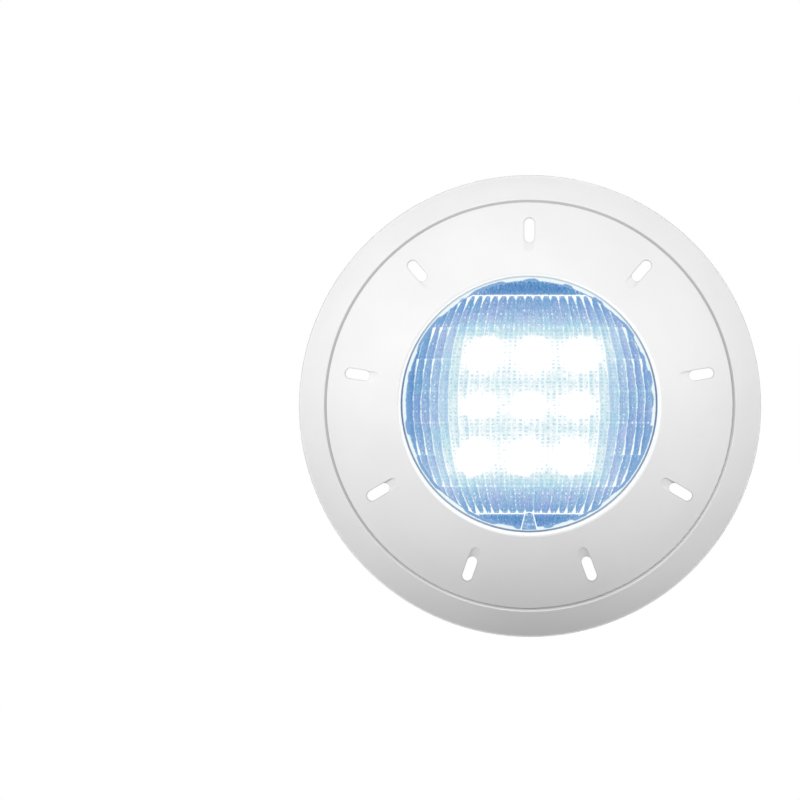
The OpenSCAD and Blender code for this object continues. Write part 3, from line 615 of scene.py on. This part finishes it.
def cut_round(piece, radius, depth):
    """Draws a grid's outer points in to a circle, and drops the faces that are wholly outside it."""
    bpy.ops.object.mode_set(mode="EDIT")
    bpy.ops.mesh.select_mode(type="VERT")
    bpy.ops.mesh.select_all(action="DESELECT")
    bpy.ops.object.mode_set(mode="OBJECT")
    for vertex in piece.data.vertices:
        x, y, z = vertex.co
        reach = math.hypot(x, z)
        if reach > radius:
            x, z = x * radius / reach, z * radius / reach
            vertex.co = (x, depth(x, z), z)
            vertex.select = True
    bpy.ops.object.mode_set(mode="EDIT")
    bpy.ops.mesh.delete(type="ONLY_FACE")
    bpy.ops.mesh.select_all(action="SELECT")
    bpy.ops.mesh.delete_loose()
    bpy.ops.mesh.select_all(action="SELECT")
    bpy.ops.mesh.remove_doubles(threshold=WELD)
    bpy.ops.object.mode_set(mode="OBJECT")


def carry_on(piece, *turns):
    """Carries a round face's edge on, in the glass, through each radius and depth."""
    count = len(piece.data.polygons)
    bpy.ops.object.mode_set(mode="EDIT")
    bpy.ops.mesh.select_all(action="SELECT")
    bpy.ops.mesh.region_to_loop()
    for radius, y in turns:
        bpy.ops.mesh.extrude_edges_move()
        bpy.ops.object.mode_set(mode="OBJECT")
        for vertex in piece.data.vertices:
            if vertex.select:
                scale = radius / math.hypot(vertex.co.x, vertex.co.z)
                vertex.co = (vertex.co.x * scale, y, vertex.co.z * scale)
        bpy.ops.object.mode_set(mode="EDIT")
    bpy.ops.object.mode_set(mode="OBJECT")
    for face in piece.data.polygons[count:]:
        face.material_index = GLASS_SLOT


def sphere_y(radius, x, z):
    """Depth of a sphere about the lens's centre, at a point of its front."""
    return LENS_CENTRE_Y - math.sqrt(radius ** 2 - x ** 2 - z ** 2)


def band_lines():
    """Heights of the lines that divide the lens, from the top down, with the grid's two ends."""
    lines = [BAND_TOP - i * BAND_H for i in range(BAND_COUNT)]
    return [LENS_R + GRID_MARGIN, *lines, lines[-1] - LAST_BAND_H, -LENS_R - GRID_MARGIN]


LINES = band_lines()
LENS_ROWS = (len(LINES) - 1) * ROWS_PER_BAND


def row_height(down):
    """Height of a row of the lens, which has as many rows in each band as in any other."""
    step = down * (len(LINES) - 1)
    band = min(int(step), len(LINES) - 2)
    return LINES[band] + (LINES[band + 1] - LINES[band]) * (step - band)


def outer_y(x, z, sphere_r=LENS_SPHERE_R):
    """Depth of the outer face: round across, and straight from line to line up and down."""
    high, low = next((high, low) for high, low in zip(LINES, LINES[1:]) if z >= low - 1e-9)
    start, end = [sphere_y(sphere_r, x, line) for line in (high, low)]
    return start + (end - start) * (high - z) / (high - low)


def outer_point(across, down):
    x, z = across * (LENS_R + GRID_MARGIN), row_height(down)
    return Vector((x, outer_y(x, z), z))


def fluted_y(x, z):
    """Depth of the inner face: flutes that bulge inwards between sharp ridges."""
    turn = math.asin(x / math.sqrt(FLUTE_SPHERE_R ** 2 - z ** 2)) / FLUTE_ANGLE
    bulge = FLUTE_DEPTH * (1 - (2 * (turn - round(turn))) ** 2)
    return sphere_y(LENS_SPHERE_R - GLASS_T, x, z) + bulge


def fluted_point(across, down):
    z = max(min(row_height(down), LENS_R), -LENS_R)
    turn = across * (FLUTES_EACH_SIDE + 0.5)
    x = math.sqrt(FLUTE_SPHERE_R ** 2 - z ** 2) * math.sin(turn * FLUTE_ANGLE)
    return Vector((x, fluted_y(x, z), z))


def pad_point(across, down):
    """The pad's front: a low arch, and below its shoulders sides that part towards the foot."""
    turn = min(down / ARCH_SHARE, 1) * math.pi / 2
    below = max(down - ARCH_SHARE, 0) / (1 - ARCH_SHARE)
    x = across * (PAD_SHOULDER_W * math.sin(turn) + (PAD_W - PAD_SHOULDER_W) * below) / 2
    z = PAD_SHOULDER_Z + (PAD_TOP_Z - PAD_SHOULDER_Z) * math.cos(turn)
    z += (PAD_FOOT_Z - PAD_SHOULDER_Z) * below
    return Vector((x, outer_y(x, z, LENS_SPHERE_R + PAD_T), z))


def join_to(piece, other):
    deselect()
    other.select_set(True)
    piece.select_set(True)
    bpy.context.view_layer.objects.active = piece
    bpy.ops.object.join()


def make_lens():
    """Domed glass with a wall and a flange, hollow behind, and fluted inside the hollow."""
    materials = [finish() for finish in LENS_FINISHES]
    lens = add_grid(
        "glass_lens_fluted", OUTER_COLUMNS, LENS_ROWS, outer_point, GLASS_SLOT, materials
    )
    cut_round(lens, LENS_R, outer_y)
    carry_on(lens, (LENS_R, FLANGE_FRONT_Y), (FLANGE_R, FLANGE_FRONT_Y), (FLANGE_R, FLANGE_BACK_Y))

    columns = (2 * FLUTES_EACH_SIDE + 1) * POINTS_PER_FLUTE
    flutes = add_grid("flutes", columns, LENS_ROWS, fluted_point, FLUTES_SLOT, materials)
    cut_round(flutes, BORE_R, fluted_y)
    carry_on(flutes, (BORE_R, FLANGE_BACK_Y))

    # Two open faces, joined by the ring between their rear edges
    join_to(lens, flutes)
    bpy.ops.object.mode_set(mode="EDIT")
    bpy.ops.mesh.select_all(action="DESELECT")
    bpy.ops.mesh.select_non_manifold()
    bpy.ops.mesh.fill(use_beauty=True)
    bpy.ops.object.mode_set(mode="OBJECT")

    pad = add_grid("pad", PAD_COLUMNS, PAD_ROWS, pad_point, PAD_SLOT, materials)
    bpy.ops.object.mode_set(mode="EDIT")
    bpy.ops.mesh.select_all(action="SELECT")
    bpy.ops.mesh.remove_doubles(threshold=WELD)
    bpy.ops.mesh.extrude_region_move(TRANSFORM_OT_translate={"value": (0, PAD_T + PAD_ROOT, 0)})
    bpy.ops.object.mode_set(mode="OBJECT")

    join_to(lens, pad)
    bpy.ops.object.mode_set(mode="EDIT")
    bpy.ops.mesh.select_all(action="SELECT")
    bpy.ops.mesh.normals_make_consistent(inside=False)
    bpy.ops.object.mode_set(mode="OBJECT")
    bpy.ops.object.shade_smooth_by_angle(angle=SMOOTH_ANGLE)
    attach(lens, "lamp")
    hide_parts("glass_lens")


# ---- Finishes of the pieces that keep their construction shape ----

def finish_parts():
    white = ((0.83, 0.83, 0.83), (0.79, 0.79, 0.79), 0.42)
    finishes = {
        "white_shell": moulded("white_shell", *white),
        "lamp_shell_plastic": moulded("lamp_shell_plastic", (0.81, 0.81, 0.82), (0.76, 0.76, 0.77), 0.5),
        "black_rubber": moulded("black_rubber", (0.03, 0.03, 0.032), (0.018, 0.018, 0.02), 0.7),
        "grey_rubber": moulded("grey_rubber", (0.16, 0.165, 0.17), (0.11, 0.115, 0.12), 0.7),
        "stainless": metal("stainless", (0.66, 0.66, 0.65), (0.56, 0.56, 0.56), 0.28),
        "screw_steel": metal("screw_steel", (0.6, 0.6, 0.6), (0.5, 0.5, 0.5), 0.3),
        "acetal": moulded("acetal", (0.78, 0.76, 0.70), (0.72, 0.70, 0.64), 0.45),
        "reflector_white": moulded("reflector_white", (0.86, 0.87, 0.88), (0.8, 0.81, 0.83), 0.2),
        "board_white": moulded("board_white", (0.82, 0.83, 0.83), (0.75, 0.76, 0.77), 0.35),
        "optic_clear": moulded("optic_clear", (0.8, 0.85, 0.9), (0.7, 0.78, 0.86), 0.1),
        "sink_aluminium": metal("sink_aluminium", (0.74, 0.75, 0.76), (0.62, 0.63, 0.65), 0.42),
        "board_green": moulded("board_green", (0.03, 0.17, 0.07), (0.02, 0.11, 0.05), 0.35),
        "ferrite": moulded("ferrite", (0.07, 0.05, 0.045), (0.04, 0.03, 0.03), 0.6),
        "capacitor_can": metal("capacitor_can", (0.2, 0.22, 0.3), (0.12, 0.13, 0.2), 0.35),
        "chip_black": moulded("chip_black", (0.03, 0.03, 0.03), (0.02, 0.02, 0.02), 0.5),
        "terminal_green": moulded("terminal_green", (0.05, 0.3, 0.1), (0.03, 0.22, 0.07), 0.4),
        "lead_red": moulded("lead_red", (0.45, 0.03, 0.02), (0.33, 0.02, 0.015), 0.45),
        "gland_black": moulded("gland_black", (0.04, 0.04, 0.042), (0.025, 0.025, 0.027), 0.45),
        "led_die": moulded("led_die", (0.9, 0.85, 0.5), (0.85, 0.75, 0.35), 0.3),
        "clear_glass": moulded("construction_glass", (0.8, 0.85, 0.9), (0.7, 0.78, 0.86), 0.1),
    }
    own = {
        "mounting_base": moulded("base_shell", *white, detail=base_painted_shade),
        "front_cover": moulded("cover_shell", *white, detail=cover_painted_shade_and_highlight),
    }
    for name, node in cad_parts.items():
        for slot in node.material_slots:
            slot.material = own.get(name) or finishes[slot.material.name]


# ---- Studio ----

def white_to_camera(nodes, kind, shader, share, strength=1.0):
    """Mixes plain white over a shader, for what the camera sees directly, mirrored or through glass.

    kind is the node that shines: Emission in a material, Background in a world.
    """
    seen = nodes.node("LightPath", output="Is Camera Ray")
    for name in ("Is Glossy Ray", "Is Transmission Ray"):
        seen = seen.at_least(nodes.node("LightPath", output=name))
    white = nodes.node(kind, inputs={"Color": (1, 1, 1), "Strength": strength})
    return nodes.node("MixShader", inputs={0: seen * share, 1: shader, 2: white})


def make_floor():
    deselect()
    bpy.ops.mesh.primitive_plane_add(size=FLOOR_SIZE, location=(0, 0, FLOOR_Z))
    floor = new_piece("floor")
    finish = Finish("floor")
    finish.surface(base_color=FLOOR_GREY, roughness=0.9, specular_ior_level=0.0)
    grey = Value(finish, finish.shader.outputs[0])
    finish.show(white_to_camera(finish, "Emission", grey, FLOOR_WHITE_SHARE, FLOOR_WHITE))
    floor.data.materials.append(finish.material)


def make_light():
    world = bpy.data.worlds.new("studio")
    bpy.context.scene.world = world
    world.use_nodes = True
    nodes = Nodes(world.node_tree)
    way = nodes.node("TexCoord", output="Generated")
    sky = nodes.node(
        "MapRange",
        {"interpolation_type": "SMOOTHSTEP"},
        {
            "Value": nodes.node("SeparateXYZ", inputs={0: way}, output="Z"),
            "From Min": SKY_TURN[0],
            "From Max": SKY_TURN[1],
            "To Min": SKY_LOW,
            "To Max": SKY_HIGH,
        },
    )
    background = world.node_tree.nodes["Background"]
    nodes.feed(background.inputs["Color"], (1, 1, 1))
    nodes.feed(background.inputs["Strength"], sky)
    shine = Value(nodes, background.outputs[0])
    nodes.show(white_to_camera(nodes, "Background", shine, 1.0), "World Output")

    for name, place, size, watts in SOFTBOXES:
        data = bpy.data.lights.new(name, "AREA")
        data.shape = "SQUARE"
        data.size = size
        data.energy = watts
        softbox = bpy.data.objects.new(name, data)
        bpy.context.scene.collection.objects.link(softbox)
        softbox.visible_glossy = False
        softbox.location = place
        softbox.rotation_euler = Vector(place).to_track_quat("Z", "Y").to_euler()


def make_camera():
    """A long lens, aimed so that the object's centre falls on its own pixel of the frame."""
    data = bpy.data.cameras.new("camera")
    camera = bpy.data.objects.new("camera", data)
    bpy.context.scene.collection.objects.link(camera)
    bpy.context.scene.camera = camera
    back = Vector((
        math.sin(VIEW_AZIMUTH) * math.cos(VIEW_ELEVATION),
        -math.cos(VIEW_AZIMUTH) * math.cos(VIEW_ELEVATION),
        math.sin(VIEW_ELEVATION),
    ))
    camera.location = back * CAMERA_DISTANCE
    right = Vector((-back.y, back.x, 0)).normalized()
    up = back.cross(right).normalized()
    middle = FRAME_PIXELS / 2
    aim = right * (middle - OBJECT_PIXEL[0]) * PIXEL + up * (OBJECT_PIXEL[1] - middle) * PIXEL
    camera.rotation_euler = (camera.location - aim).to_track_quat("Z", "Y").to_euler()
    data.sensor_width = 36
    data.lens = data.sensor_width * CAMERA_DISTANCE / (FRAME_PIXELS * PIXEL)
    data.clip_start = 0.1
    data.clip_end = 100


make_camera()
make_light()
make_floor()
finish_parts()
make_lens()
bpy.context.scene.view_settings.view_transform = "Standard"
